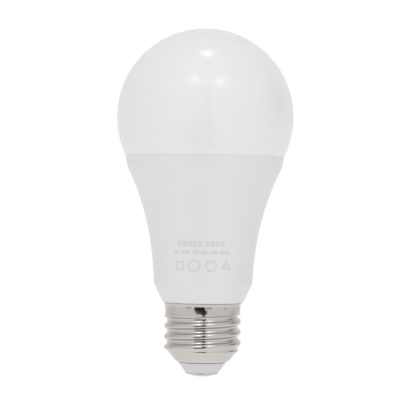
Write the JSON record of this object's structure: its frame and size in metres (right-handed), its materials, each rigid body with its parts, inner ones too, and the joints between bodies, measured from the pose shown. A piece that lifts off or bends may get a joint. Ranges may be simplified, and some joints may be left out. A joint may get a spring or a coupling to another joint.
{
  "type": "smart light bulb",
  "caption": "Screw-in smart LED bulb: milky globe on a flared white housing, Edison screw cap, with light board, driver and wireless module inside.",
  "frame": {"origin": "tip of the centre contact at the bottom of the screw cap, on the lamp axis", "axes": "+Z along the lamp axis from the contact to the top of the globe; the marked face of the housing looks along -Y; +X to its right"},
  "size_m": [0.06, 0.06, 0.1182],
  "materials": {
    "milky_plastic": "satin",
    "white_plastic": "satin",
    "silicone": "satin",
    "aluminium_cup": "satin",
    "heat_paste": "matte",
    "white_board": "satin",
    "warm_phosphor": "gloss",
    "cool_phosphor": "gloss",
    "colour_package": "gloss",
    "steel_screw": "satin",
    "ivory_plastic": "satin",
    "black_plastic": "satin",
    "tinned_pins": "satin",
    "green_board": "satin",
    "dark_board": "satin",
    "capacitor_sleeve": "gloss",
    "ferrite": "matte",
    "winding_tape": "gloss",
    "copper_wire": "gloss",
    "varistor_coat": "gloss",
    "chip_body": "matte",
    "chip_ceramic": "satin",
    "resistor_coat": "matte",
    "heat_shrink": "satin",
    "tinned_steel": "satin",
    "gold_trace": "satin",
    "lead_cover": "satin",
    "tinned_wire": "satin",
    "nickel_cap": "polished",
    "insulator_plastic": "satin",
    "contact_metal": "satin"
  },
  "bodies": {
    "root": {"diffuser": "milky_plastic", "adhesive_ring": "silicone", "housing": "white_plastic", "heat_sink_cup": "aluminium_cup", "thermal_paste": "heat_paste", "light_board": "white_board", "warm_white_leds": "warm_phosphor", "cool_white_leds": "cool_phosphor", "colour_leds": "colour_package", "light_board_screws": "steel_screw", "board_socket": "ivory_plastic", "board_header": "black_plastic", "header_pins": "tinned_pins", "driver_board": "green_board", "input_capacitor": "capacitor_sleeve", "output_capacitor": "capacitor_sleeve", "supply_capacitor": "capacitor_sleeve", "transformer_core": "ferrite", "transformer_winding": "winding_tape", "transformer_bobbin": "black_plastic", "filter_choke": "ferrite", "choke_winding": "copper_wire", "surge_varistor": "varistor_coat", "bridge_rectifier": "chip_body", "driver_chips": "chip_body", "power_diodes": "chip_body", "chip_resistors": "chip_ceramic", "fuse_resistor": "resistor_coat", "fuse_sleeve": "heat_shrink", "wireless_board": "dark_board", "wireless_shield": "tinned_steel", "wireless_pins": "tinned_pins", "antenna_trace": "gold_trace", "live_lead": "lead_cover", "neutral_lead": "tinned_wire", "screw_shell": "nickel_cap", "cap_insulator": "insulator_plastic", "centre_contact": "contact_metal"}
  },
  "joints": []
}
